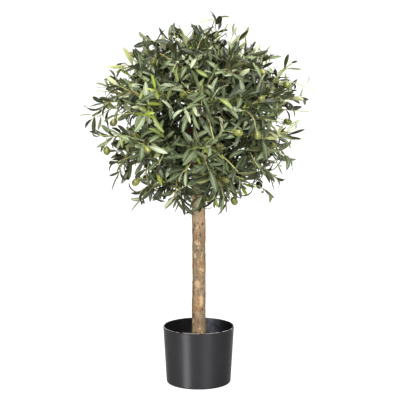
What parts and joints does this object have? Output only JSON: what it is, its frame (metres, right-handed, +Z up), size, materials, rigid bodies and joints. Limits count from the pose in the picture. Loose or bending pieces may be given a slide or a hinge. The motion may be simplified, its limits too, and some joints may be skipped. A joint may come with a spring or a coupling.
{
  "type": "standard olive topiary in a pot",
  "caption": "Artificial standard topiary: a round ball of olive leaves and fruit on one straight bark-covered stem, set in a round tapered pot.",
  "frame": {"origin": "centre of the pot's flat underside, which stands on the floor", "axes": "+Z up along the pot's and the trunk's axis; the pictured front faces -Y, +X to its right"},
  "size_m": [0.5564, 0.5566, 0.8988],
  "materials": {
    "pot": "satin charcoal plastic",
    "filling": "rough dark cast cement",
    "trunk_bark": "matt natural bark",
    "bough_bark": "matt brown bark",
    "foliage": "satin artificial leaves"
  },
  "bodies": {
    "root": {"bough_bottom_1": "bough_bark", "bough_bottom_2": "bough_bark", "bough_bottom_3": "bough_bark", "bough_bottom_4": "bough_bark", "bough_lower_1": "bough_bark", "bough_lower_2": "bough_bark", "bough_lower_3": "bough_bark", "bough_lower_4": "bough_bark", "bough_lower_5": "bough_bark", "bough_lower_6": "bough_bark", "bough_lower_7": "bough_bark", "bough_middle_1": "bough_bark", "bough_middle_2": "bough_bark", "bough_middle_3": "bough_bark", "bough_middle_4": "bough_bark", "bough_middle_5": "bough_bark", "bough_middle_6": "bough_bark", "bough_middle_7": "bough_bark", "bough_middle_8": "bough_bark", "bough_top_1": "bough_bark", "bough_upper_1": "bough_bark", "bough_upper_2": "bough_bark", "bough_upper_3": "bough_bark", "bough_upper_4": "bough_bark", "bough_upper_5": "bough_bark", "bough_upper_6": "bough_bark", "foliage_bottom_1": "foliage", "foliage_bottom_2": "foliage", "foliage_bottom_3": "foliage", "foliage_bottom_4": "foliage", "foliage_lower_1": "foliage", "foliage_lower_2": "foliage", "foliage_lower_3": "foliage", "foliage_lower_4": "foliage", "foliage_lower_5": "foliage", "foliage_lower_6": "foliage", "foliage_lower_7": "foliage", "foliage_middle_1": "foliage", "foliage_middle_2": "foliage", "foliage_middle_3": "foliage", "foliage_middle_4": "foliage", "foliage_middle_5": "foliage", "foliage_middle_6": "foliage", "foliage_middle_7": "foliage", "foliage_middle_8": "foliage", "foliage_top_1": "foliage", "foliage_upper_1": "foliage", "foliage_upper_2": "foliage", "foliage_upper_3": "foliage", "foliage_upper_4": "foliage", "foliage_upper_5": "foliage", "foliage_upper_6": "foliage", "pot": "pot", "pot_filling": "filling", "trunk": "trunk_bark"}
  },
  "joints": []
}
